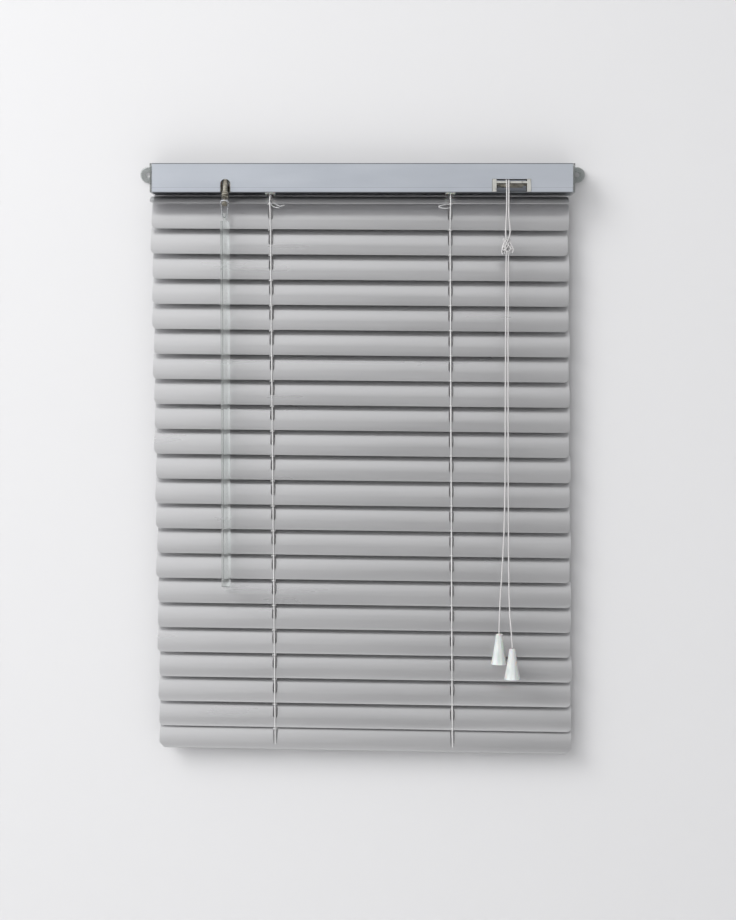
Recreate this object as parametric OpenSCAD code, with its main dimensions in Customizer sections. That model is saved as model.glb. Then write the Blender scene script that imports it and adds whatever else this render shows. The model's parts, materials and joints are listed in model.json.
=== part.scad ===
// Horizontal mini blind: head rail with tilt and lift gear, slats hung in two string ladders,
// bottom rail, tilt wand and pull cords. X runs to the right along the rail, the room is at -Y,
// the wall is the plane y = 0, and the origin is midway between the two wall screw holes.

/* [Overall] */
// Length of the slats, the head rail and the bottom rail
blind_l = 356; // [300:1:520]
// Distance from one slat to the next down the ladder
pitch = 21.46; // [20:0.01:26]
// Number of slats that tilt fully
slat_count = 21; // [4:1:21]
// How far the slats are closed at rest, front edge down
rest_tilt = 72; // [40:1:74]

/* [Slats] */
// Width of a slat, front to rear
slat_w = 25.4; // [20:0.1:26]
// Thickness of the slat strip
slat_t = 0.2; // [0.15:0.01:0.4]
// Radius of a slat's crown
crown_r = 41.3; // [30:0.1:80]
// Radius of a slat's corners
corner_r = 4; // [1:0.1:8]
// Length of the cord slot, front to rear
slot_l = 9.6; // [6:0.1:12]
// Width of the cord slot
slot_w = 4; // [2:0.1:5]

/* [Head rail] */
// Depth of the head rail, front to rear
rail_d = 25; // [24:0.1:32]
// Height of the head rail
rail_h = 24.5; // [24:0.1:32]
// Thickness of the rail's sheet
rail_t = 0.5; // [0.4:0.05:0.8]
// Gap between the rail and the wall
rail_gap = 2.2; // [2:0.1:6]
// Height of the screw holes below the rail's top
hole_drop = 7; // [5:0.1:10]

/* [Ladders and cords] */
// Place of the left ladder along the rail
ladder_left = -78.5; // [-110:0.5:-50]
// Place of the right ladder along the rail
ladder_right = 74.7; // [50:0.5:100]
// Diameter of the lift cords
cord_d = 1.4; // [0.8:0.1:1.8]
// Diameter of the ladder strings
string_d = 0.8; // [0.5:0.1:1]

/* [Tilter and cord lock] */
// Place of the tilter along the rail
tilter_x = -116; // [-140:0.5:-105]
// Width of the tilter's notch in the rail
notch_w = 8.6; // [8:0.1:10]
// Place of the cord lock along the rail
lock_x = 126.3; // [110:0.5:140]
// Width of the cord lock's cut-out
lock_w = 33.3; // [32:0.1:40]
// Width of the wand across its corners
wand_d = 7.6; // [6:0.1:9]
// Length of the wand
wand_l = 314.5; // [200:0.5:450]

/* [Wall brackets] */
// Radius of the screw holes
screw_r = 2.25; // [1.8:0.05:2.6]
// Distance between the two screw holes
screw_span = 369; // [363:1:540]
// Radius of a bracket's ear
ear_r = 6.6; // [6:0.1:8]

/* [Hidden] */
$fn = 48;
fit = 0.3;                                  // gap between neighbouring pieces
run = 0.05;                                 // radial clearance of a turning fit
rail_top = hole_drop;
rail_bottom = hole_drop - rail_h;
rail_back = -rail_gap;
rail_front = -rail_gap - rail_d;
hang_y = rail_front / 2 - rail_gap / 2;     // the plane in which slats, rod and lift cords hang
ladders = [ladder_left, ladder_right];

// Slats: the top one stays nearly level, the others follow the ladders.
top_tilt = rest_tilt / 4;
top_z = rail_bottom - 3.4;
first_z = top_z - 14.4;
level_roll = 0.3;                           // the stack hangs slightly down to the right
bottom_roll = 1.0;
drift = 5;                                  // sideways drift from the first slat to the last
function slat_z(i) = i == 0 ? top_z : first_z - pitch * (i - 1);
function slat_roll(i) = i == 0 ? 0.1 : level_roll + (bottom_roll - level_roll) * i / slat_count;
function slat_x(i) = drift * i / slat_count - drift / 2 + 0.7 * sin(i * 137);
function ladder_drift(i) = 3 * i / slat_count;

// Bottom rail
base_w = slat_w - 2.4;
base_t = 3.2;
base_z = slat_z(slat_count) - 20.3;

// Tilt gear: a rod carries the drums and the worm wheel; the worm leans out through the rail's front.
rod_y = hang_y;
rod_z = rail_bottom + rail_h / 2;
rod_d = 6;                                  // across the corners
drum_r = 9;
drum_w = 7;
hub_r = 4.6;
hub_l = 13;
teeth = 10;
wheel_root = 4.4;
wheel_tip = 5.6;
wheel_w = 6;
worm_lean = 25;
worm_r = 2.6;
worm_offset = wheel_tip + worm_r + fit;
worm_up = 6;                                // the worm reaches this far above and below the wheel's level
worm_down = 3;
stem_r = 2;
collar_r = 2.9;
neck_r = 0.9;
neck_l = 3.4;
ball_r = 2.3;
stem_l = 29;                                // from the wheel's level down to the ball
ball_y = rod_y - worm_offset * cos(worm_lean) - stem_l * sin(worm_lean);
ball_z = rod_z + worm_offset * sin(worm_lean) - stem_l * cos(worm_lean);

// Hook and wand
wire_r = 0.5;
hook_r = 3.2;
hook_ring = 2.6;                            // height of the ring above the ball's centre
hook_bar = 11;                              // depth of the cross bar below the ball's centre
hook_taper = 5;
tang_l = 6;
tang_hole = 2.5;                            // depth of the wand's cross hole below its top
wand_y = ball_y;
wand_top = ball_z - hook_bar + tang_hole;

// Cord lock: the cords come over the roller, under a plate, and out over the bar.
lock_h = 11.2;                              // height of the cut-outs in the rail's front
bar_top = rail_bottom + lock_h - 1.8;
bar_h = 1.7;
plate_z = rail_bottom + lock_h - 0.1;
knurl = 0.2;
roller_r = 2.4;
roller_l = 19;
roller_pin_r = 1.2;
roller_travel = 3;
roller_slope = 35;                          // the pin's slots fall away from the room
roller_y = rail_front + 4.8;
roller_z = plate_z - cord_d - roller_r - knurl - 0.15;

// Cord routes. Points are millimetres, chosen by hand.
pull_left = [[121.8, -26.4, -7.3], [121.8, -27.7, -7.3], [121.8, -28.7, -8.3], [121.8, -29, -10], [121.9, -29.6, -20],
             [121.7, -30.6, -36], [121.0, -31, -50], [121.6, -31.2, -60], [121.5, -31.4, -80],
             [121.3, -31.8, -140], [121.2, -32.2, -200], [121.2, -32.6, -260], [120.6, -33, -300],
             [119.0, -33.6, -335], [117.2, -34.4, -365], [116.4, -35.2, -390], [116.4, -35.2, -401]];
pull_right = [[123.7, -26.4, -7.3], [123.7, -27.7, -7.3], [123.7, -28.7, -8.3], [123.7, -29, -10], [123.7, -29.6, -20],
              [123.7, -30.6, -36], [124.8, -31, -50], [123.5, -31.2, -60], [123.4, -31.4, -80],
              [123.4, -31.8, -140], [123.6, -32.2, -200], [123.9, -32.6, -260], [124.2, -33.2, -300],
              [124.4, -35, -335], [125.0, -38, -370], [127.2, -41, -402], [127.2, -41, -413]];
knot_at = [122.5, -31.2, -60];
tassel_left = [116.4, -35.2, -392];
tassel_right = [127.2, -41, -404];
tassel_l = 26;
run_left_y = -16.9;                         // the two lift cords lie side by side inside the rail
run_right_y = -14.7;
run_z = -15.1;
lift_left = [[121.8, -26.3, -7.3], [121.8, -22.4, -7.3], [121.8, -18.8, -7.6], [120.6, -17.4, -8.6],
             [116, -16.9, -11], [100, run_left_y, run_z], [10, run_left_y, run_z],
             [-74.5, run_left_y, run_z], [-77.1, -15.6, -15.5], [-78.5, -14.7, -17], [-78.5, -14.7, -19],
             [-77, -14.7, -255], [-75.5, -14.7, -486]];
lift_right = [[123.7, -26.3, -7.3], [123.7, -22.4, -7.3], [123.7, -17, -7.6], [122.4, -15.2, -8.6],
              [118, -14.7, -11], [100, run_right_y, run_z], [78.7, run_right_y, run_z],
              [76.1, -14.7, -15.5], [74.7, -14.7, -17], [74.7, -14.7, -19],
              [76.2, -14.7, -255], [77.7, -14.7, -486]];

// Names of the repeated nodes
function two(i) = i < 10 ? str("0", i) : str(i);
SLATS = [for (i = [0 : slat_count]) str("slat_", two(i))];
RUNGS = [for (i = [2 : slat_count]) str("ladder_rung_", two(i))];

PAINT = [0.78, 0.78, 0.80];
CLEAR = [0.85, 0.88, 0.88, 0.6];
THREAD = [0.92, 0.92, 0.90];
NYLON = [0.90, 0.90, 0.87];
STEEL = [0.70, 0.71, 0.73];

// ---- helpers -------------------------------------------------------------------------------

// A box centred on x and y that stands on z = 0.
module block(size) translate([-size[0] / 2, -size[1] / 2, 0]) cube(size);

// A cylinder along X, centred.
module x_rod(r, l) rotate([0, 90, 0]) cylinder(r = r, h = l, center = true);

// A slot outline with round ends, long along Y.
module slot_2d(l, w) {
    square([w, l - w], center = true);
    for (s = [-1, 1]) translate([0, s * (l - w) / 2]) circle(d = w);
}

// A rectangle with four round corners, made of true arcs.
module rounded_2d(l, w, r) {
    square([l - 2 * r, w], center = true);
    square([l, w - 2 * r], center = true);
    for (sx = [-1, 1], sy = [-1, 1]) translate([sx * (l / 2 - r), sy * (w / 2 - r)]) circle(r = r);
}

// One ring of a cord: eight corners at p, square to the run from a to b. The corners are counted
// from a direction square to side, which the run must not follow.
function unit(v) = v / norm(v);
function ring(p, a, b, r, side) =
    let (t = unit(b - a), u = unit(cross(t, side)), v = cross(t, u))
    [for (k = [0 : 7]) p + r * (cos(45 * k) * u + sin(45 * k) * v)];

// A cord of radius r swept along its points.
module cord(route, r, side = [0, 1, 0.01]) {
    n = len(route);
    rings = [for (i = [0 : n - 1]) ring(route[i], route[max(i - 1, 0)], route[min(i + 1, n - 1)], r, side)];
    sides = [for (i = [0 : n - 2], k = [0 : 7], half = [0, 1])
        let (a = 8 * i + k, b = 8 * i + (k + 1) % 8)
        half == 0 ? [a, b + 8, b] : [a, a + 8, b + 8]];
    polyhedron(
        points = [for (one = rings) each one],
        faces = concat([[for (k = [0 : 7]) k]], sides, [[for (k = [7 : -1 : 0]) 8 * (n - 1) + k]]),
        convexity = 4);
}

// ---- slats ---------------------------------------------------------------------------------

// The curved strip, its hinge line on X through the middle of the arc, crown upwards.
module strip(w, t, l) {
    intersection() {
        rotate([90, 0, 90]) linear_extrude(l, center = true) difference() {
            translate([0, -crown_r + t / 2]) circle(r = crown_r, $fn = 360);
            translate([0, -crown_r + t / 2]) circle(r = crown_r - t, $fn = 360);
            translate([-2 * crown_r, -4 * crown_r]) square([4 * crown_r, 3 * crown_r]);
        }
        translate([0, 0, -w / 2]) linear_extrude(w) rounded_2d(l, w, corner_r);
    }
}

module slat(i) {
    tilt = i == 0 ? top_tilt : rest_tilt;
    color(PAINT) translate([0, hang_y, slat_z(i)]) rotate([0, slat_roll(i), 0]) rotate([tilt, 0, 0])
        difference() {
            translate([slat_x(i), 0, 0]) strip(slat_w, slat_t, blind_l);
            for (x = ladders) translate([x + ladder_drift(i), 0, -2])
                linear_extrude(4) slot_2d(slot_l, slot_w);
        }
}

// The bottom rail: a slat-like crowned face closed to a flat tube with rolled lips.
module bottom_rail() {
    color(PAINT) translate([0, hang_y, base_z]) rotate([0, bottom_roll, 0]) rotate([rest_tilt, 0, 0])
        translate([drift / 2, 0, 0]) difference() {
        intersection() {
            rotate([90, 0, 90]) linear_extrude(blind_l, center = true) difference() {
                intersection() {
                    translate([0, -crown_r + base_t / 2]) circle(r = crown_r, $fn = 360);
                    translate([-base_w / 2, -base_t - 1]) square([base_w, 3 * base_t]);
                }
                intersection() {
                    translate([0, -crown_r + base_t / 2 - 0.6]) circle(r = crown_r, $fn = 360);
                    translate([-base_w / 2 + 0.8, -base_t + 0.2]) square([base_w - 1.6, 3 * base_t]);
                }
                translate([-base_w / 2 + 3, -2 * base_t]) square([base_w - 6, base_t + 1]);
            }
            translate([0, 0, -base_w / 2]) linear_extrude(base_w) polygon([
                [-blind_l / 2, -base_w / 2 + 4], [-blind_l / 2 + 4, -base_w / 2],
                [blind_l / 2 - 4, -base_w / 2], [blind_l / 2, -base_w / 2 + 4],
                [blind_l / 2, base_w / 2], [-blind_l / 2, base_w / 2]]);
        }
        for (x = ladders) translate([x + ladder_drift(slat_count) - drift / 2, 0, -base_w / 2])
            linear_extrude(base_w) slot_2d(slot_l + 5.4, slot_w);
    }
}

// ---- ladders and cords -----------------------------------------------------------------------

// Where a slat's long edges lie from its hinge line, at a tilt.
edge_y = slat_w / 2;
edge_z = -crown_r + sqrt(crown_r * crown_r - edge_y * edge_y);
function front_edge(a) = [-edge_y * cos(a) - edge_z * sin(a), -edge_y * sin(a) + edge_z * cos(a)];
function rear_edge(a) = [edge_y * cos(a) - edge_z * sin(a), edge_y * sin(a) + edge_z * cos(a)];
string_off = string_d / 2 + slat_t + fit;
under = [sin(rest_tilt), -cos(rest_tilt)] * string_off;     // from a slat to the threads under it
front_y = hang_y + front_edge(rest_tilt)[0] - string_off;
rear_y = hang_y + rear_edge(rest_tilt)[0] + under[0] + string_d + fit;
front_low = base_z + 5;
rear_low = base_z + base_w / 2 + 0.5;

// A round thread from a to b.
module thread(a, b) {
    way = b - a;
    translate(a) rotate([0, acos(way[2] / norm(way)), atan2(way[1], way[0])])
        cylinder(d = string_d, h = norm(way));
}

// The two cross threads under a slat, one in each ladder.
module ladder_rung(i) {
    from = front_edge(rest_tilt) + under;
    to = rear_edge(rest_tilt) + under;
    beside = cord_d / 2 + string_d / 2 + 2 * fit;
    color(THREAD) for (x = ladders) {
        rung_x = x + ladder_drift(i) - beside;
        slant = rung_x * sin(slat_roll(i));
        thread([rung_x, hang_y + from[0], slat_z(i) + from[1] - slant],
               [rung_x, hang_y + to[0], slat_z(i) + to[1] - slant]);
    }
}

module string_run(y, low) {
    color(THREAD) for (x = ladders)
        thread([x + ladder_drift(slat_count), y, low], [x, y, first_z]);
}

module ladder_front() string_run(front_y, front_low);
module ladder_back() string_run(rear_y, rear_low);

// Each lift cord runs inside the rail from the lock to its ladder, then down through the slots.
module lift_cords() {
    color(THREAD) {
        cord(lift_left, cord_d / 2);
        cord(lift_right, cord_d / 2);
    }
}

module pull_cords() {
    color(THREAD) {
        cord(pull_left, cord_d / 2, side = [1, 0, 0]);
        cord(pull_right, cord_d / 2, side = [1, 0, 0]);
        translate(knot_at) rotate([90, 0, 0]) sphere(r = 3.4, $fn = 24);
        // the knots that hold the tassels
        for (route = [pull_left, pull_right])
            translate(route[len(route) - 1]) rotate([90, 0, 0]) sphere(r = 1.8, $fn = 24);
    }
}

// A flared bell with an open skirt.
module tassel() {
    rotate_extrude($fn = 32) polygon([[0.9, 0], [2.6, 0], [3.6, -3], [7, -tassel_l], [5.8, -tassel_l],
        [2.4, -6], [0.9, -6]]);
}

module tassels() {
    color(CLEAR) {
        translate(tassel_left) tassel();
        translate(tassel_right) tassel();
    }
}

// ---- head rail -------------------------------------------------------------------------------

module head_rail() {
    lip = 2.2;
    color(PAINT) difference() {
        translate([0, (rail_back + rail_front) / 2, rail_bottom]) difference() {
            block([blind_l, rail_d, rail_h]);
            translate([0, 0, rail_t]) block([blind_l + 2, rail_d - 2 * rail_t, rail_h - 2 * rail_t]);
            translate([0, 0, rail_t]) block([blind_l + 2, rail_d - 2 * rail_t - 2 * lip, rail_h + 2]);
        }
        // arched notch for the tilter's stem
        translate([tilter_x, rail_front, rail_bottom - 1]) {
            block([notch_w, 3 * rail_t, lock_h - notch_w / 2 + 1]);
            translate([0, 0, lock_h - notch_w / 2 + 1]) rotate([90, 0, 0])
                cylinder(d = notch_w, h = 3 * rail_t, center = true);
        }
        translate([tilter_x, rail_front, rail_bottom - 1]) block([notch_w, 14, 3]);
        // window for the cord lock
        translate([lock_x, rail_front, rail_bottom - 1]) block([lock_w, 3 * rail_t, lock_h + 1]);
        // openings in the floor for the ladders
        for (x = ladders) translate([x, rod_y, rail_bottom - 1]) linear_extrude(3)
            rounded_2d(9, 20, 2);
    }
}

// The clear cap over each end of the rail, with an ear for a wall screw.
module end_bracket() {
    wall = 1.6;
    ear_t = rail_gap - fit;
    difference() {
        union() {
            translate([blind_l / 2 + fit, rail_front, rail_bottom])
                cube([wall, rail_d, rail_h]);
            translate([blind_l / 2 - 9, -ear_t, rail_bottom + 3])
                cube([9 + fit + wall, ear_t, rail_h - 3]);
            translate([screw_span / 2, 0, 0]) rotate([90, 0, 0]) cylinder(r = ear_r, h = ear_t);
            translate([blind_l / 2 + fit, -ear_t, -ear_r])
                cube([screw_span / 2 - blind_l / 2, ear_t, 2 * ear_r]);
            translate([blind_l / 2 + fit, rail_back - wall, rail_bottom])
                cube([wall, wall + rail_gap, rail_h]);
            // tongue that grips inside the rail
            translate([blind_l / 2 - 8, rail_front + rail_t + fit, rail_top - rail_t - fit - 5])
                cube([8 + fit, 1.2, 4]);
            translate([blind_l / 2 - 8, rail_back - rail_t - fit - 1.2, rail_top - rail_t - fit - 5])
                cube([8 + fit, 1.2, 4]);
        }
        translate([screw_span / 2, 1, 0]) rotate([90, 0, 0]) cylinder(r = screw_r, h = rail_d);
    }
}

module end_brackets() {
    color(CLEAR) {
        end_bracket();
        mirror([1, 0, 0]) end_bracket();
    }
}

// ---- tilt gear -------------------------------------------------------------------------------

rod_left = tilter_x - 14;
rod_right = ladder_right + 12;

module tilt_rod() {
    color(STEEL) translate([rod_left, rod_y, rod_z]) rotate([0, 90, 0])
        cylinder(d = rod_d, h = rod_right - rod_left, $fn = 6);
}

// A bore that the hexagonal rod drives.
module rod_bore(l) rotate([0, 90, 0]) cylinder(d = rod_d + 2 * run, h = l, center = true, $fn = 6);

module ladder_drums() {
    color(NYLON) for (x = ladders) translate([x, rod_y, rod_z]) difference() {
        union() {
            x_rod(hub_r, hub_l);
            for (s = [-1, 1]) translate([s * drum_w / 2, 0, 0]) x_rod(drum_r, 1);
            x_rod(drum_r - 1.4, drum_w);
        }
        rod_bore(hub_l + 2);
    }
}

// A saddle on the rail's floor with two bearing cheeks and a nose through the floor.
module drum_cradles() {
    floor_z = rail_bottom + rail_t;
    cheek_x = drum_w / 2 + 1.6;
    cheek_t = 1.4;
    color(NYLON) for (x = ladders) translate([x, rod_y, 0]) difference() {
        union() {
            for (s = [-1, 1]) translate([s * (cheek_x + cheek_t / 2), 0, floor_z])
                block([cheek_t, 16, rod_z - floor_z + 3]);
            translate([0, 0, floor_z]) block([2 * cheek_x + 2 * cheek_t, 21, 0.8]);
            translate([0, 0, rail_bottom - 0.6]) linear_extrude(rail_t + 1) rounded_2d(8.4, 19.4, 2);
        }
        translate([0, 0, rod_z]) x_rod(hub_r + run, 40);
        translate([0, 0, rod_z]) block([40, 2 * hub_r * 0.86, 10]);
        translate([0, 0, rail_bottom - 2]) linear_extrude(6) rounded_2d(5.6, 16.6, 2);
        // way through the cheeks for the lift cords
        translate([0, (run_left_y + run_right_y) / 2 - rod_y, floor_z + 0.8]) block([40, 6, 2.2]);
    }
}

module tilter_gear() {
    color(NYLON) translate([tilter_x, rod_y, rod_z]) difference() {
        union() {
            x_rod(wheel_root, wheel_w);
            x_rod(hub_r, wheel_w + 6);
            for (k = [0 : teeth - 1]) rotate([k * 360 / teeth, 0, 0])
                translate([-wheel_w / 2, -0.7, 0]) cube([wheel_w, 1.4, wheel_tip]);
        }
        rod_bore(wheel_w + 8);
    }
}

// Places its children on the worm's axis, the wheel's level at z = 0 and the stem downwards.
module on_worm_axis() {
    translate([tilter_x, rod_y - worm_offset * cos(worm_lean), rod_z + worm_offset * sin(worm_lean)])
        rotate([-worm_lean, 0, 0]) children();
}

// The worm, its stem with ribbed collars, and the ball that the hook hangs from.
module tilter_worm() {
    stem_end = stem_l - ball_r - neck_l;
    groove = 0.7;
    step = 2;
    color(CLEAR) on_worm_axis() {
        translate([0, 0, -worm_down]) cylinder(r = worm_r - groove, h = worm_up + worm_down);
        for (z = [-worm_down + 0.5 : step : worm_up - 1]) translate([0, 0, z])
            cylinder(r = worm_r, h = 0.9);
        translate([0, 0, -stem_end]) cylinder(r = stem_r, h = stem_end - worm_down + 0.2);
        for (k = [0 : 2]) translate([0, 0, -stem_end + 0.2 + step * k]) cylinder(r = collar_r, h = 1.1);
        translate([0, 0, -stem_l]) cylinder(r = neck_r, h = neck_l + ball_r + 0.2);
        translate([0, 0, -stem_l]) sphere(r = ball_r, $fn = 32);
    }
}

// A box around the gears: cheeks that carry the wheel's hubs and collars that carry the worm.
module tilter_housing() {
    floor_z = rail_bottom + rail_t;
    cheek_x = wheel_w / 2 + 0.6;
    cheek_t = 2;
    color(CLEAR) difference() {
        union() {
            for (s = [-1, 1]) translate([tilter_x + s * (cheek_x + cheek_t / 2),
                    (rail_front + rail_back) / 2 , floor_z])
                block([cheek_t, rail_d - 2 * rail_t - 2 * fit, rail_h - 2 * rail_t - fit]);
            translate([tilter_x, rail_back - rail_t - fit - 0.8, floor_z])
                block([2 * cheek_x, 1.6, rail_h - 2 * rail_t - fit]);
        }
        translate([tilter_x, rod_y, rod_z]) x_rod(hub_r + run, 40);
    }
}

// ---- hook and wand ---------------------------------------------------------------------------

// A wire ring round the stem's neck, with two legs and a cross bar that passes through the wand.
module wand_hook() {
    leg_l = (hook_ring + hook_bar) / cos(hook_taper);
    bar_l = 2 * (hook_r - leg_l * sin(hook_taper)) + 2 * wire_r;
    color(STEEL) translate([tilter_x, ball_y, ball_z]) {
        translate([0, 0, hook_ring]) rotate_extrude() translate([hook_r, 0]) circle(r = wire_r, $fn = 16);
        for (s = [-1, 1]) translate([s * hook_r, 0, hook_ring]) rotate([0, 180 + s * hook_taper, 0])
            cylinder(r = wire_r, h = leg_l);
        translate([0, 0, -hook_bar]) x_rod(wire_r, bar_l);
    }
}

// A hexagonal wand with a flat tang on top and a plain cap at its foot.
module tilt_wand() {
    tang_w = 2.4;
    cap_l = 6;
    color(CLEAR) translate([tilter_x, wand_y, wand_top]) difference() {
        union() {
            translate([0, 0, -wand_l]) cylinder(d = wand_d, h = wand_l - tang_l, $fn = 6);
            translate([0, 0, -tang_l]) block([tang_w, 5, tang_l]);
            translate([0, 0, -wand_l - 0.8]) cylinder(r = wand_d / 2 + 0.2, h = cap_l);
        }
        translate([0, 0, -tang_hole]) x_rod(wire_r + 2 * run, 20);
    }
}

// ---- cord lock -------------------------------------------------------------------------------

module cord_lock_housing() {
    floor_z = rail_bottom + rail_t;
    cheek_t = 3.4;
    cheek_d = 9.8;
    cheek_h = plate_z - floor_z + 0.2;
    cheek_x = lock_w / 2 - cheek_t / 2 - fit;
    nose = 0.4;                             // how far the lock stands out of the rail's front
    slot_half = roller_pin_r + 0.2;
    color(NYLON) difference() {
        union() {
            for (s = [-1, 1]) translate([lock_x + s * cheek_x - cheek_t / 2, rail_front - nose, floor_z])
                cube([cheek_t, cheek_d, cheek_h]);
            translate([lock_x, rail_front - nose + cheek_d - 1, floor_z]) block([2 * cheek_x, 2, 1.2]);
            translate([lock_x, rail_front - nose + 6, plate_z]) block([2 * cheek_x + cheek_t, 5, 1]);
            // the bar that the cords turn over
            translate([lock_x, rail_front + 0.6, bar_top - bar_h]) block([2 * cheek_x, 1.6, bar_h]);
        }
        // the slanted slots of the roller's pin
        translate([lock_x, roller_y, roller_z]) rotate([-roller_slope, 0, 0]) {
            x_rod(slot_half, 2 * cheek_x + 2);
            translate([0, roller_travel, 0]) x_rod(slot_half, 2 * cheek_x + 2);
            translate([-cheek_x - 1, 0, -slot_half]) cube([2 * cheek_x + 2, roller_travel, 2 * slot_half]);
        }
    }
}

// The knurled roller that pinches the cords, with a pin at each end.
module cord_lock_roller() {
    pin_l = lock_w - 6;
    color(CLEAR) translate([lock_x, roller_y, roller_z]) {
        x_rod(roller_r, roller_l);
        x_rod(roller_pin_r, pin_l);
        for (k = [0 : 11]) rotate([k * 30, 0, 0]) translate([0, 0, roller_r]) x_rod(knurl, roller_l);
    }
}

head_rail();
end_brackets();
tilter_housing();
tilter_worm();
tilter_gear();
tilt_rod();
ladder_drums();
drum_cradles();
cord_lock_housing();
cord_lock_roller();
wand_hook();
tilt_wand();
ladder_front();
ladder_back();
lift_cords();
pull_cords();
tassels();
bottom_rail();
for (i = [0 : slat_count]) slat(i);
for (i = [2 : slat_count]) ladder_rung(i);
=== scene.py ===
import json
import math

import bmesh
import bpy
from mathutils import Matrix, Vector


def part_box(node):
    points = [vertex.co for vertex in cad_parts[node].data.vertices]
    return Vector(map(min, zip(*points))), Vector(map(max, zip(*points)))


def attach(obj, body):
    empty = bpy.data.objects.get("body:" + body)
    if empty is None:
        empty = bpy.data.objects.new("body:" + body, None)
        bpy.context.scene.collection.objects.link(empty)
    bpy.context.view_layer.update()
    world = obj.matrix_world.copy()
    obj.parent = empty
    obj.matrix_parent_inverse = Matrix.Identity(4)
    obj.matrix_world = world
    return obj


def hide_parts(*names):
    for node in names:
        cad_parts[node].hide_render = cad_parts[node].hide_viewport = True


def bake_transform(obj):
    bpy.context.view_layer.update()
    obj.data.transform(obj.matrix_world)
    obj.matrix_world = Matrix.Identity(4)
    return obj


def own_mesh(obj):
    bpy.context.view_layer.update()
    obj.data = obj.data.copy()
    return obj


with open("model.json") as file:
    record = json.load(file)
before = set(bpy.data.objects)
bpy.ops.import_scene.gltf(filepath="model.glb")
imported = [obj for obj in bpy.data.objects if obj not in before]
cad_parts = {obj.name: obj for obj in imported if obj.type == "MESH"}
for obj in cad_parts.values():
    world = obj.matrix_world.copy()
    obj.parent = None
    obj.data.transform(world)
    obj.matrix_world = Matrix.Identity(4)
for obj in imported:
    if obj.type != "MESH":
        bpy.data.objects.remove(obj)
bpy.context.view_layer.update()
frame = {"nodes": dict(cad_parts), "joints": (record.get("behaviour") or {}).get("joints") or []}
cad = frame["nodes"]
MM = 0.001

# ---- Camera -------------------------------------------------------------------------------------
# A person stands straight in front of the window, a metre and a half away, with the eyes a little
# above the middle of the blind, and looks slightly down at it.
eye = Vector((4.7, -1515, -171.5)) * MM
aim = Vector((4.7, -15, -244.8)) * MM
camera = bpy.data.objects.new("camera", bpy.data.cameras.new("camera"))
bpy.context.scene.collection.objects.link(camera)
camera.location = eye
camera.rotation_euler = (aim - eye).to_track_quat("-Z", "Y").to_euler()
camera.data.sensor_width = 36
camera.data.lens = 68.4
bpy.context.scene.camera = camera
bpy.context.scene.view_settings.view_transform = "Standard"

# ---- Pull cords ---------------------------------------------------------------------------------
# Two thin braided polyester cords come over the bar of the cord lock and hang in front of
# the slats. They are tied together a hand's width below the rail and each ends in its own tassel.
cord_d = 1.4
pull_d = 1.15
pull_left = [(121.8, -26.4, -7.3), (121.8, -27.7, -7.3), (121.8, -28.7, -8.3),
             (121.8, -29, -10), (121.9, -29.6, -20),
             (121.7, -30.6, -36), (121.0, -31, -50), (121.6, -31.2, -60), (121.5, -31.4, -80),
             (121.3, -31.8, -140), (121.2, -32.2, -200), (121.2, -32.6, -260), (120.6, -33, -300),
             (119.0, -33.6, -335), (117.2, -34.4, -365), (116.4, -35.2, -390), (116.4, -35.2, -401)]
pull_right = [(123.7, -26.4, -7.3), (123.7, -27.7, -7.3), (123.7, -28.7, -8.3),
              (123.7, -29, -10), (123.7, -29.6, -20),
              (123.7, -30.6, -36), (124.8, -31, -50), (123.5, -31.2, -60), (123.4, -31.4, -80),
              (123.4, -31.8, -140), (123.6, -32.2, -200), (123.9, -32.6, -260), (124.2, -33.2, -300),
              (124.4, -35, -335), (125.0, -38, -370), (127.2, -41, -402), (127.2, -41, -413)]


def smooth_route(points, step):
    """Points in metres along a smooth curve through the given points in millimetres, about step apart."""
    ends = [Vector(p) * MM for p in points]
    ends = [2 * ends[0] - ends[1]] + ends + [2 * ends[-1] - ends[-2]]
    route = []
    for a, b, c, d in zip(ends, ends[1:], ends[2:], ends[3:]):
        count = max(1, round((c - b).length / (step * MM)))
        for k in range(count):
            t = k / count
            route.append(0.5 * (2 * b + (c - a) * t + (2 * a - 5 * b + 4 * c - d) * t * t
                                + (3 * b - a - 3 * c + d) * t * t * t))
    return route + [ends[-2]]


def round_tube(name, route, diameter, material, closed=False, sides=4):
    """A smooth tube of that diameter in millimetres along a route in metres."""
    curve = bpy.data.curves.new(name, "CURVE")
    curve.dimensions = "3D"
    curve.bevel_depth = diameter * MM / 2
    curve.bevel_resolution = sides
    curve.use_fill_caps = True
    spline = curve.splines.new("POLY")
    spline.points.add(len(route) - 1)
    for point, place in zip(spline.points, route):
        point.co = (*place, 1)
    spline.use_cyclic_u = closed
    shape = bpy.data.objects.new(name, curve)
    bpy.context.scene.collection.objects.link(shape)
    mesh = bpy.data.meshes.new_from_object(shape.evaluated_get(bpy.context.evaluated_depsgraph_get()))
    bpy.data.objects.remove(shape)
    mesh.name = name
    mesh.materials.clear()
    mesh.materials.append(material)
    mesh.shade_smooth()
    tube = bpy.data.objects.new(name, mesh)
    bpy.context.scene.collection.objects.link(tube)
    return tube


def new_material(name, colour, roughness, metallic=0.0):
    """A material whose base colour, roughness and metal are set, with its node tree and shader."""
    material = bpy.data.materials.new(name)
    material.use_nodes = True
    tree = material.node_tree
    shader = tree.nodes["Principled BSDF"]
    shader.inputs["Base Color"].default_value = (*colour, 1)
    shader.inputs["Roughness"].default_value = roughness
    shader.inputs["Metallic"].default_value = metallic
    return material, tree, shader


def node(tree, kind, **values):
    """A node with the given properties, and inputs where the name is an input's."""
    made = tree.nodes.new(kind)
    for key, value in values.items():
        name = key.replace("_", " ")
        if name in made.inputs:
            made.inputs[name].default_value = value
        else:
            setattr(made, key, value)
    return made


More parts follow.
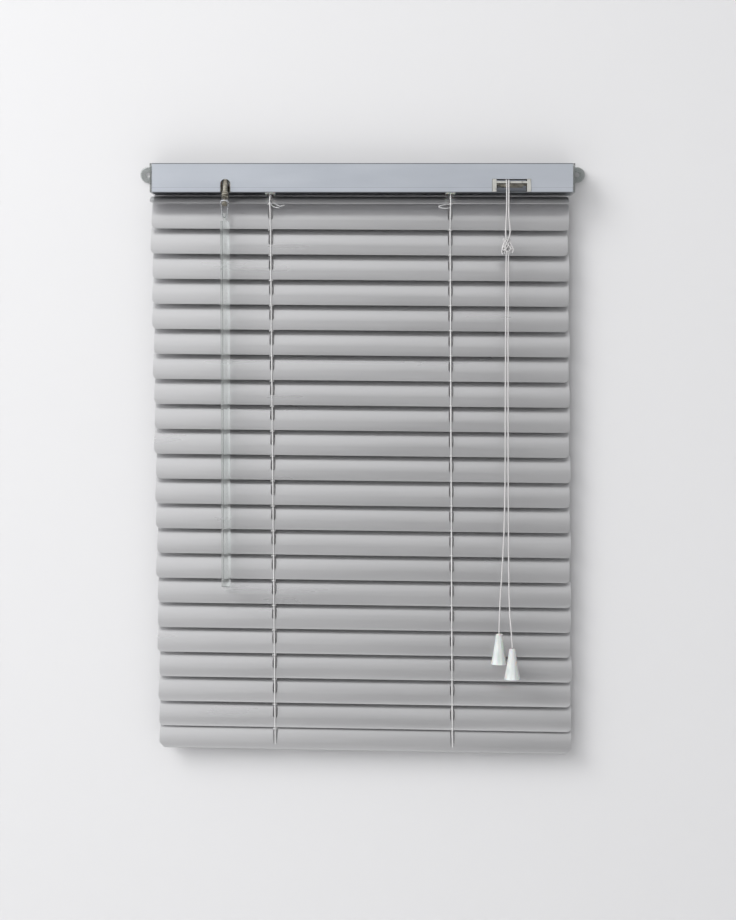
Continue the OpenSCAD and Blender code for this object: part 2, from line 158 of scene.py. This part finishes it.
def object_pattern(tree, scale, turn=(0, 0, 0)):
    """Object coordinates, stretched by scale."""
    place = node(tree, "ShaderNodeTexCoord")
    mapping = node(tree, "ShaderNodeMapping", Scale=scale, Rotation=turn)
    tree.links.new(place.outputs["Object"], mapping.inputs["Vector"])
    return mapping.outputs["Vector"]


def tone(tree, factor, low, high, start=0.35, end=0.65):
    """A colour ramp between two colours over part of a pattern's range."""
    ramp = node(tree, "ShaderNodeValToRGB")
    ramp.color_ramp.elements[0].position = start
    ramp.color_ramp.elements[1].position = end
    ramp.color_ramp.elements[0].color = (*low, 1)
    ramp.color_ramp.elements[1].color = (*high, 1)
    tree.links.new(factor, ramp.inputs["Fac"])
    return ramp.outputs["Color"]


def bump(tree, shader, height, strength, distance):
    """A bump of that height in metres from a pattern."""
    made = node(tree, "ShaderNodeBump", Strength=strength, Distance=distance)
    tree.links.new(height, made.inputs["Height"])
    tree.links.new(made.outputs["Normal"], shader.inputs["Normal"])


def braided(name, light, dark, thickness):
    """Braided thread: two sets of fine diagonal ribs that cross, with painted shade making the grooves a
    little grey.
    """
    material, tree, shader = new_material(name, light, 0.75)
    shader.inputs["Sheen Weight"].default_value = 0.25
    shader.inputs["Sheen Roughness"].default_value = 0.5
    ribs = []
    for side in (-1, 1):
        wave = node(tree, "ShaderNodeTexWave", Scale=0.55 / (thickness * MM), Distortion=0.6, Detail=1.0,
                    Detail_Scale=2.0)
        wave.bands_direction = "DIAGONAL"
        tree.links.new(object_pattern(tree, (side, side, 1)), wave.inputs["Vector"])
        ribs.append(wave.outputs["Fac"])
    crossed = node(tree, "ShaderNodeMath", operation="MAXIMUM")
    tree.links.new(ribs[0], crossed.inputs[0])
    tree.links.new(ribs[1], crossed.inputs[1])
    # painted shade: the grooves between the ribs are coloured darker
    tree.links.new(tone(tree, crossed.outputs[0], dark, light, 0.1, 0.7), shader.inputs["Base Color"])
    bump(tree, shader, crossed.outputs[0], 0.6, 0.08 * thickness * MM)
    return material


cord_material = braided("braided_cord", (0.50, 0.49, 0.49), (0.24, 0.24, 0.25), cord_d)
pulls = {}
for side, points in (("left", pull_left), ("right", pull_right)):
    route = smooth_route(points, 1.5)
    pull = round_tube("pull_cord_" + side, route, pull_d, cord_material)
    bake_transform(pull)
    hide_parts("pull_cords")
    pulls[side] = pull, route

# ---- Lift cords ---------------------------------------------------------------------------------
# The same two cords run on inside the rail, side by side on its floor, turn down at each ladder and
# pass through every slat's slot to a knot in the bottom rail.
lift_left = [(121.8, -26.3, -7.3), (121.8, -22.4, -7.3), (121.8, -18.8, -7.6), (120.6, -17.4, -8.6),
             (116, -16.9, -11), (100, -16.9, -15.1), (10, -16.9, -15.1), (-74.5, -16.9, -15.1),
             (-77.1, -15.6, -15.5), (-78.5, -14.7, -17), (-78.5, -14.7, -19)]
lift_right = [(123.7, -26.3, -7.3), (123.7, -22.4, -7.3), (123.7, -17, -7.6), (122.4, -15.2, -8.6),
              (118, -14.7, -11), (100, -14.7, -15.1), (78.7, -14.7, -15.1), (76.1, -14.7, -15.5),
              (74.7, -14.7, -17), (74.7, -14.7, -19)]
bottom_low, bottom_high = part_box("bottom_rail")
base_z = (bottom_low.z + bottom_high.z) / 2 / MM
for side, points in (("left", lift_left), ("right", lift_right)):
    inside = round_tube("lift_cord_in_rail_" + side, smooth_route(points, 2), cord_d, cord_material)
    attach(inside, "frame")
    top = points[-1]
    hanging = round_tube("lift_cord_" + side, smooth_route(
        [top, (top[0] + 1.5, top[1], (top[2] + base_z) / 2), (top[0] + 3, top[1], base_z)], 4),
        cord_d, cord_material)
    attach(hanging, "frame")
    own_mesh(hanging)
    for piece in (inside, hanging):
        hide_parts("lift_cords")

# ---- Knot in the pull cords ---------------------------------------------------------------------
# The two cords are tied together in one fat overhand knot, so that they pull as one. Its turns are
# the cord itself, laid round and through each other, with two short tails.
knot_centre = Vector((122.2, -31.4, -63))
knot_turns = 96
cord_in_knot_d = 1.0
for index, (turn, tall, spread) in enumerate(((0.0, 12.5, 2.4), (2.1, 10.0, 3.0), (4.0, 7.0, 3.4))):
    loop = []
    for k in range(knot_turns):
        a = 2 * math.pi * k / knot_turns
        wide = spread + 0.9 * math.cos(3 * a + turn)
        loop.append((knot_centre + Vector((wide * math.cos(2 * a + turn) + 0.5 * math.sin(a),
                                           0.55 * wide * math.sin(2 * a + turn),
                                           tall * 0.5 * math.sin(3 * a + 0.4 * turn)))) * MM)
    wrap = round_tube("cord_knot_%d" % (index + 1), loop, cord_in_knot_d, cord_material, closed=True)
    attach(wrap, "pull_line")
for index, points in enumerate((
        [(122.8, -31.8, -58), (125.6, -32.3, -62), (127.4, -32.6, -66), (126.6, -32.6, -69)],
        [(121.6, -31.8, -61), (119.0, -32.4, -64), (117.6, -32.6, -68), (118.6, -32.6, -70)])):
    tail = round_tube("cord_tail_%d" % (index + 1), smooth_route(points, 0.8),
                      cord_in_knot_d, cord_material)
    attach(tail, "pull_line")

# ---- Tassels ------------------------------------------------------------------------------------
# Injection-moulded milky bells with flat facets, hollow underneath. Each slides on its cord and
# rests on a knot tied inside it.
milky, tree, shader = new_material("milky_plastic", (0.86, 0.88, 0.87), 0.28)
shader.inputs["Transmission Weight"].default_value = 0.45
shader.inputs["IOR"].default_value = 1.49
shader.inputs["Subsurface Weight"].default_value = 0.25
shader.inputs["Subsurface Scale"].default_value = 0.003
flow = node(tree, "ShaderNodeTexNoise", Scale=1.0, Detail=3.0)
tree.links.new(object_pattern(tree, (260, 260, 60)), flow.inputs["Vector"])
tree.links.new(tone(tree, flow.outputs["Fac"], (0.74, 0.76, 0.75), (0.90, 0.91, 0.90)),
               shader.inputs["Base Color"])
bump(tree, shader, flow.outputs["Fac"], 0.3, 0.0002)

facets = 10
bell_outline = [(0.9, 0), (2.3, 0), (2.9, -0.8), (3.0, -2.0), (3.9, -9), (5.2, -17), (6.8, -25), (7.0, -26),
                (6.2, -26), (4.6, -18), (3.2, -10), (2.3, -6.2), (0.9, -6)]
for side, centre in (("left", (116.4, -35.2, -392)), ("right", (127.2, -41, -404))):
    name = "tassel_" + side
    form = bmesh.new()
    rim = [form.verts.new((Vector(centre) + Vector((r, 0, z))) * MM) for r, z in bell_outline]
    for a, b in zip(rim, rim[1:] + rim[:1]):
        form.edges.new((a, b))
    bmesh.ops.spin(form, geom=form.verts[:] + form.edges[:], cent=Vector(centre) * MM, axis=(0, 0, 1),
                   angle=2 * math.pi, steps=facets, use_merge=True)
    bmesh.ops.remove_doubles(form, verts=form.verts[:], dist=1e-6)
    bmesh.ops.recalc_face_normals(form, faces=form.faces[:])
    bmesh.ops.bevel(form, geom=form.edges[:], offset=0.25 * MM, segments=2, profile=0.5, affect="EDGES",
                    material=-1)
    mesh = bpy.data.meshes.new(name)
    form.to_mesh(mesh)
    form.free()
    mesh.materials.append(milky)
    mesh.shade_smooth()
    tassel = bpy.data.objects.new(name, mesh)
    bpy.context.scene.collection.objects.link(tassel)
    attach(tassel, "pull_line")
    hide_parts("tassels")
    pull, route = pulls[side]

# ---- Slats --------------------------------------------------------------------------------------
# Strips of thin aluminium, rolled to a shallow crown, painted silver grey and baked, then cut with
# round corners and punched with a slot at each ladder. Use leaves faint streaks and dust on them.
slat_names = sorted(n for n in cad if n.startswith("slat_"))
silver, tree, shader = new_material("silver_paint", (0.50, 0.50, 0.51), 0.26, 0.72)
streaks = node(tree, "ShaderNodeTexNoise", Scale=1.0, Detail=3.0, Roughness=0.5)
tree.links.new(object_pattern(tree, (5, 60, 60)), streaks.inputs["Vector"])
tree.links.new(tone(tree, streaks.outputs["Fac"], (0.50, 0.50, 0.51), (0.54, 0.54, 0.55), 0.25, 0.75),
               shader.inputs["Base Color"])
grain = node(tree, "ShaderNodeTexNoise", Scale=1.0, Detail=2.0)
tree.links.new(object_pattern(tree, (900, 900, 900)), grain.inputs["Vector"])
rough = node(tree, "ShaderNodeMapRange", From_Min=0.3, From_Max=0.7, To_Min=0.27, To_Max=0.32)
tree.links.new(streaks.outputs["Fac"], rough.inputs["Value"])
tree.links.new(rough.outputs["Result"], shader.inputs["Roughness"])
bump(tree, shader, grain.outputs["Fac"], 0.12, 0.00003)


def dress(name, material):
    """Gives a CAD node its material."""
    cad[name].data.materials.clear()
    cad[name].data.materials.append(material)


for name in slat_names + ["bottom_rail"]:
    dress(name, silver)

# ---- Head rail ----------------------------------------------------------------------------------
# A channel folded from steel sheet and painted a slightly bluer grey than the slats, open on top.
rail_paint, tree, shader = new_material("rail_paint", (0.56, 0.58, 0.61), 0.34, 0.5)
mottle = node(tree, "ShaderNodeTexNoise", Scale=1.0, Detail=4.0)
tree.links.new(object_pattern(tree, (12, 60, 60)), mottle.inputs["Vector"])
paint_tone = tone(tree, mottle.outputs["Fac"], (0.45, 0.48, 0.53), (0.50, 0.53, 0.58), 0.3, 0.7)
upright = node(tree, "ShaderNodeSeparateXYZ")
tree.links.new(node(tree, "ShaderNodeTexCoord").outputs["Object"], upright.inputs[0])
# Painted shade: the paint colour is darkened along the rail's bottom edge, along a fold line just above it
# and along its top edge, where the folds turn away from the light.
painted_edge_shade = node(tree, "ShaderNodeValToRGB")
rail_low, rail_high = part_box("head_rail")
where = node(tree, "ShaderNodeMapRange", From_Min=rail_low.z, From_Max=rail_high.z)
tree.links.new(upright.outputs["Z"], where.inputs["Value"])
tree.links.new(where.outputs["Result"], painted_edge_shade.inputs["Fac"])
ramp = painted_edge_shade.color_ramp
ramp.elements[0].position, ramp.elements[0].color = 0.0, (0.30, 0.30, 0.30, 1)
ramp.elements[1].position, ramp.elements[1].color = 0.035, (1, 1, 1, 1)
for position, level in ((0.15, 1.0), (0.165, 0.72), (0.18, 1.0), (0.96, 1.0), (0.985, 0.28)):
    ramp.elements.new(position).color = (level, level, level, 1)
paint_with_edge_shade = node(tree, "ShaderNodeMix", data_type="RGBA", blend_type="MULTIPLY")
paint_with_edge_shade.inputs[0].default_value = 1.0
tree.links.new(paint_tone, paint_with_edge_shade.inputs[6])
tree.links.new(painted_edge_shade.outputs["Color"], paint_with_edge_shade.inputs[7])
tree.links.new(paint_with_edge_shade.outputs[2], shader.inputs["Base Color"])
peel = node(tree, "ShaderNodeTexNoise", Scale=1.0, Detail=1.0)
tree.links.new(object_pattern(tree, (600, 600, 600)), peel.inputs["Vector"])
bump(tree, shader, peel.outputs["Fac"], 0.2, 0.00006)
dress("head_rail", rail_paint)

# ---- Clear plastic fittings ---------------------------------------------------------------------
# The end caps with their screw ears and the wand are moulded or drawn from clear acrylic,
# gone slightly green and scuffed.
clear, tree, shader = new_material("clear_plastic", (0.86, 0.89, 0.88), 0.12)
shader.inputs["Transmission Weight"].default_value = 0.93
shader.inputs["IOR"].default_value = 1.49
scuffs = node(tree, "ShaderNodeTexNoise", Scale=1.0, Detail=4.0)
tree.links.new(object_pattern(tree, (90, 90, 30)), scuffs.inputs["Vector"])
rough = node(tree, "ShaderNodeMapRange", From_Min=0.35, From_Max=0.7, To_Min=0.04, To_Max=0.14)
tree.links.new(scuffs.outputs["Fac"], rough.inputs["Value"])
tree.links.new(rough.outputs["Result"], shader.inputs["Roughness"])
tree.links.new(tone(tree, scuffs.outputs["Fac"], (0.80, 0.84, 0.83), (0.92, 0.94, 0.93)),
               shader.inputs["Base Color"])
for name in ("end_brackets", "tilt_wand"):
    dress(name, clear)

# The tilter, its worm and the lock's roller are clear too, but brown with age, dust and grease.
smoky, tree, shader = new_material("smoky_plastic", (0.3, 0.27, 0.22), 0.3)
shader.inputs["Transmission Weight"].default_value = 0.35
shader.inputs["IOR"].default_value = 1.49
grease = node(tree, "ShaderNodeTexNoise", Scale=1.0, Detail=4.0)
tree.links.new(object_pattern(tree, (200, 200, 500)), grease.inputs["Vector"])
tree.links.new(tone(tree, grease.outputs["Fac"], (0.10, 0.09, 0.07), (0.48, 0.45, 0.38), 0.35, 0.68),
               shader.inputs["Base Color"])
rings = node(tree, "ShaderNodeTexWave", Scale=220.0, Distortion=0.4)
rings.bands_direction = "Z"
tree.links.new(object_pattern(tree, (1, 1, 1)), rings.inputs["Vector"])
bump(tree, shader, rings.outputs["Fac"], 0.4, 0.0002)
for name in ("tilter_housing", "tilter_worm", "cord_lock_roller"):
    dress(name, smoky)

# ---- White plastic fittings ---------------------------------------------------------------------
# The cord lock's body, the drums with their cradles and the worm wheel are moulded from white nylon.
nylon, tree, shader = new_material("white_nylon", (0.80, 0.80, 0.76), 0.5)
shader.inputs["Subsurface Weight"].default_value = 0.15
shader.inputs["Subsurface Scale"].default_value = 0.002
cloud = node(tree, "ShaderNodeTexNoise", Scale=1.0, Detail=4.0)
tree.links.new(object_pattern(tree, (80, 80, 80)), cloud.inputs["Vector"])
tree.links.new(tone(tree, cloud.outputs["Fac"], (0.72, 0.72, 0.67), (0.84, 0.84, 0.80)),
               shader.inputs["Base Color"])
bump(tree, shader, cloud.outputs["Fac"], 0.2, 0.0001)
for name in ("ladder_drums", "drum_cradles", "tilter_gear"):
    dress(name, nylon)

# The lock's body is the same nylon, yellowed at the front; its colour is painted darker towards black
# deeper inside, as painted shade in its hollow, mottled by dust.
lock_nylon, tree, shader = new_material("lock_nylon", (0.6, 0.58, 0.5), 0.5)
lock_low, lock_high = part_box("cord_lock_housing")
depth = node(tree, "ShaderNodeSeparateXYZ")
tree.links.new(node(tree, "ShaderNodeTexCoord").outputs["Object"], depth.inputs[0])
# painted shade: the colour gets darker with depth into the lock's hollow
painted_inner_shade = node(tree, "ShaderNodeMapRange", From_Min=lock_low.y + 0.0006, From_Max=lock_low.y + 0.0030)
tree.links.new(depth.outputs["Y"], painted_inner_shade.inputs["Value"])
dust = node(tree, "ShaderNodeTexNoise", Scale=1.0, Detail=4.0)
tree.links.new(object_pattern(tree, (300, 300, 300)), dust.inputs["Vector"])
shade_and_dust = node(tree, "ShaderNodeMath", operation="ADD")
tree.links.new(painted_inner_shade.outputs["Result"], shade_and_dust.inputs[0])
tree.links.new(dust.outputs["Fac"], shade_and_dust.inputs[1])
tree.links.new(tone(tree, shade_and_dust.outputs[0], (0.36, 0.36, 0.34), (0.02, 0.02, 0.016), 0.55, 0.95),
               shader.inputs["Base Color"])
dress("cord_lock_housing", lock_nylon)

# ---- Steel parts --------------------------------------------------------------------------------
# The tilt rod is drawn steel and the wand's hook is bent from zinc-plated wire.
steel, tree, shader = new_material("zinc_steel", (0.62, 0.63, 0.65), 0.3, 1.0)
lines = node(tree, "ShaderNodeTexNoise", Scale=1.0, Detail=3.0)
tree.links.new(object_pattern(tree, (20, 900, 900)), lines.inputs["Vector"])
rough = node(tree, "ShaderNodeMapRange", From_Min=0.3, From_Max=0.7, To_Min=0.22, To_Max=0.42)
tree.links.new(lines.outputs["Fac"], rough.inputs["Value"])
tree.links.new(rough.outputs["Result"], shader.inputs["Roughness"])
tree.links.new(tone(tree, lines.outputs["Fac"], (0.50, 0.51, 0.53), (0.68, 0.69, 0.71)),
               shader.inputs["Base Color"])
dress("tilt_rod", steel)
dress("wand_hook", steel)

# ---- Ladders ------------------------------------------------------------------------------------
# Two knitted string ladders carry the slats. Each has a front and a rear string and a pair of cross
# threads under every slat. The strings hang from the drums, and go round the bottom rail's edge.
string_d = 0.7
hinge_at = {j["child"]: Vector(j["pos_m"]) / MM for j in frame["joints"] if j["type"] == "hinge"}
hang_y = hinge_at["slat_01_body"].y
first_z = hinge_at["slat_01_body"].z
slat_half = 12.7
crown = 2.0
rest_tilt = 72
top_tilt = 18
slat_total = len(slat_names)
string_gap = 0.9
ladder_drift = 3
string_material = braided("ladder_string", (0.66, 0.66, 0.66), (0.34, 0.34, 0.35), string_d)


def slat_z(i):
    return hinge_at["slat_%02d_body" % i].z


def edge(i, side, off):
    """A slat's front (-1) or rear (1) edge, moved off along the room's depth, as depth and height."""
    tilt = math.radians(top_tilt if i == 0 else rest_tilt)
    y = side * slat_half * math.cos(tilt) + crown * math.sin(tilt)
    z = side * slat_half * math.sin(tilt) - crown * math.cos(tilt)
    return hang_y + y + side * off, slat_z(i) + z


def ladder_shift(z):
    """How far the ladder has drifted sideways at a height."""
    return ladder_drift * (first_z - z) / (first_z - base_z)


last = slat_total - 1
for side, x in (("left", -78.5), ("right", 74.7)):
    for face, sign, body in (("front", -1, "front_strings"), ("rear", 1, "rear_strings")):
        top_edge = edge(0, sign, string_gap)
        first_edge = edge(1, sign, string_gap)
        nose = [(x, hang_y + sign * 7.9, -5), (x, hang_y + sign * 7.6, -15),
                (x, hang_y + sign * 7.4, -17.6)]
        upper = [*nose, (x, top_edge[0], top_edge[1]), (x, first_edge[0], first_edge[1])]
        piece = round_tube("ladder_top_%s_%s" % (face, side), smooth_route(upper, 1.5),
                           string_d, string_material)
        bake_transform(piece)
        bottom = base_z + sign * 9.5
        lower = [(x, *first_edge), (x + 1.5, first_edge[0], (first_edge[1] + bottom) / 2),
                 (x + 3, first_edge[0], bottom)]
        piece = round_tube("ladder_%s_%s" % (face, side), smooth_route(lower, 3), string_d, string_material)
        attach(piece, body)
        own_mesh(piece)
        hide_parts("ladder_front" if sign < 0 else "ladder_back")
    for i in range(slat_total):
        front_y, front_z = edge(i, -1, string_gap)
        rear_y, rear_z = edge(i, 1, string_gap)
        tilt = math.radians(top_tilt if i == 0 else rest_tilt)
        under = Vector((0, math.sin(tilt), -math.cos(tilt))) * string_gap
        shift = ladder_shift(slat_z(i))
        for beside in (-1.5, 1.5):
            a = Vector((x + shift + beside * 0.3, front_y, front_z + 0.3))
            b = Vector((x + shift + beside, front_y + 0.8, front_z - 0.6)) + under * 0.6
            c = Vector((x + shift + beside, (front_y + rear_y) / 2, (front_z + rear_z) / 2)) + under
            d = Vector((x + shift + beside * 0.3, rear_y, rear_z - 0.3))
            rung = round_tube("rung_%02d_%s_%s" % (i, side, "a" if beside < 0 else "b"),
                              smooth_route([a, b, c, d], 2), 0.55, string_material, sides=2)
            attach(rung, slat_names[i] + "_body")
            if i > 1:
                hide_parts("ladder_rung_%02d" % i)

# Loose thread ends and a loop are left where the ladders were knotted to the first slats.
thread_y = hang_y - 9.6
for name, points in (
        ("thread_end_left", [(-78.5, thread_y, -26), (-74, thread_y - 0.8, -27),
                             (-70, thread_y - 1.0, -29), (-66, thread_y - 0.6, -28)]),
        ("thread_end_left_low", [(-78.5, thread_y, -27), (-75, thread_y - 0.6, -29.5),
                                 (-70.5, thread_y - 0.8, -30.5)]),
        ("thread_loop_right", [(74.7, thread_y, -27.5), (69.5, thread_y - 0.9, -27.8),
                               (64.6, thread_y - 1.0, -29.2), (69, thread_y - 0.9, -30.8),
                               (74.7, thread_y, -30.2)])):
    end = round_tube(name, smooth_route(points, 0.8), 0.5, string_material, sides=2)
    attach(end, "frame")

# ---- Wall, floor and light ----------------------------------------------------------------------
# A smooth white wall that is seen only from the room's side, a pale floor, a large window-like light
# high on the left and an even sky.
wall_paint, tree, shader = new_material("wall_paint", (0.57, 0.57, 0.58), 0.9)
clear_back = node(tree, "ShaderNodeBsdfTransparent")
mix = node(tree, "ShaderNodeMixShader")
facing = node(tree, "ShaderNodeNewGeometry")
output = tree.nodes["Material Output"]
tree.links.new(facing.outputs["Backfacing"], mix.inputs[0])
tree.links.new(shader.outputs[0], mix.inputs[1])
tree.links.new(clear_back.outputs[0], mix.inputs[2])
tree.links.new(mix.outputs[0], output.inputs[0])
floor_z = -1.0


def stage_plane(name, corners, material):
    form = bmesh.new()
    form.faces.new([form.verts.new(c) for c in corners])
    mesh = bpy.data.meshes.new(name)
    form.to_mesh(mesh)
    form.free()
    mesh.materials.append(material)
    plane = bpy.data.objects.new(name, mesh)
    bpy.context.scene.collection.objects.link(plane)


wall_y = 0.0006
stage_plane("wall", [(-1.4, wall_y, floor_z), (1.4, wall_y, floor_z),
                     (1.4, wall_y, 0.9), (-1.4, wall_y, 0.9)],
            wall_paint)
floor_paint, tree, shader = new_material("floor_paint", (0.80, 0.80, 0.80), 0.8)
stage_plane("floor", [(-4, -4, floor_z), (4, -4, floor_z), (4, 4, floor_z), (-4, 4, floor_z)], floor_paint)

world = bpy.data.worlds.new("room")
bpy.context.scene.world = world
world.use_nodes = True
tree = world.node_tree
sky = tree.nodes["Background"]
sky.inputs["Strength"].default_value = 0.72
place = node(tree, "ShaderNodeTexCoord")
split = node(tree, "ShaderNodeSeparateXYZ")
tree.links.new(place.outputs["Generated"], split.inputs[0])


def part_way(value, low, high, to_low=0.0, to_high=1.0):
    """A value that runs from to_low to to_high while the given one runs from low to high."""
    made = node(tree, "ShaderNodeMapRange", From_Min=low, From_Max=high, To_Min=to_low, To_Max=to_high)
    made.interpolation_type = "SMOOTHSTEP"
    tree.links.new(value, made.inputs["Value"])
    return made.outputs["Result"]


def math_of(operation, *values):
    made = node(tree, "ShaderNodeMath", operation=operation)
    for socket, value in zip(made.inputs, values):
        tree.links.new(value, socket)
    return made.outputs[0]


# the room is darker below eye level, lighter towards the windows on the left, and the person who
# stands in front of the blind shows as a soft dark patch in its slats
height = part_way(split.outputs["Z"], -0.05, 0.34, 0.5, 1.15)
across = part_way(split.outputs["X"], -0.2, 0.14, 1.75, 0.76)
aside = node(tree, "ShaderNodeMath", operation="ADD")
aside.inputs[1].default_value = -0.045
tree.links.new(split.outputs["X"], aside.inputs[0])
beside = part_way(math_of("ABSOLUTE", aside.outputs[0]), 0.05, 0.19)
above = part_way(split.outputs["Z"], 0.30, 0.68)
behind = part_way(split.outputs["Y"], -0.8, -0.5)
figure = part_way(math_of("MAXIMUM", math_of("MAXIMUM", beside, above), behind), 0.0, 1.0, 0.12, 1.0)
tree.links.new(math_of("MULTIPLY", math_of("MULTIPLY", height, across), figure), sky.inputs["Color"])


def area_light(name, place, target, size, power, colour):
    light = bpy.data.objects.new(name, bpy.data.lights.new(name, "AREA"))
    light.data.shape = "RECTANGLE"
    light.data.size, light.data.size_y = size
    light.data.energy = power
    light.data.color = colour
    light.visible_glossy = False
    light.visible_transmission = False
    light.location = place
    light.rotation_euler = (Vector(target) - Vector(place)).to_track_quat("-Z", "Y").to_euler()
    bpy.context.scene.collection.objects.link(light)


area_light("window_light", (-1.5, -1.4, 1.0), (0, 0, -0.2), (1.0, 1.2), 36, (1.0, 0.99, 0.98))
area_light("room_light", (-0.9, -2.2, 0.45), (0, 0, -0.1), (1.2, 0.8), 13, (0.98, 0.99, 1.0))
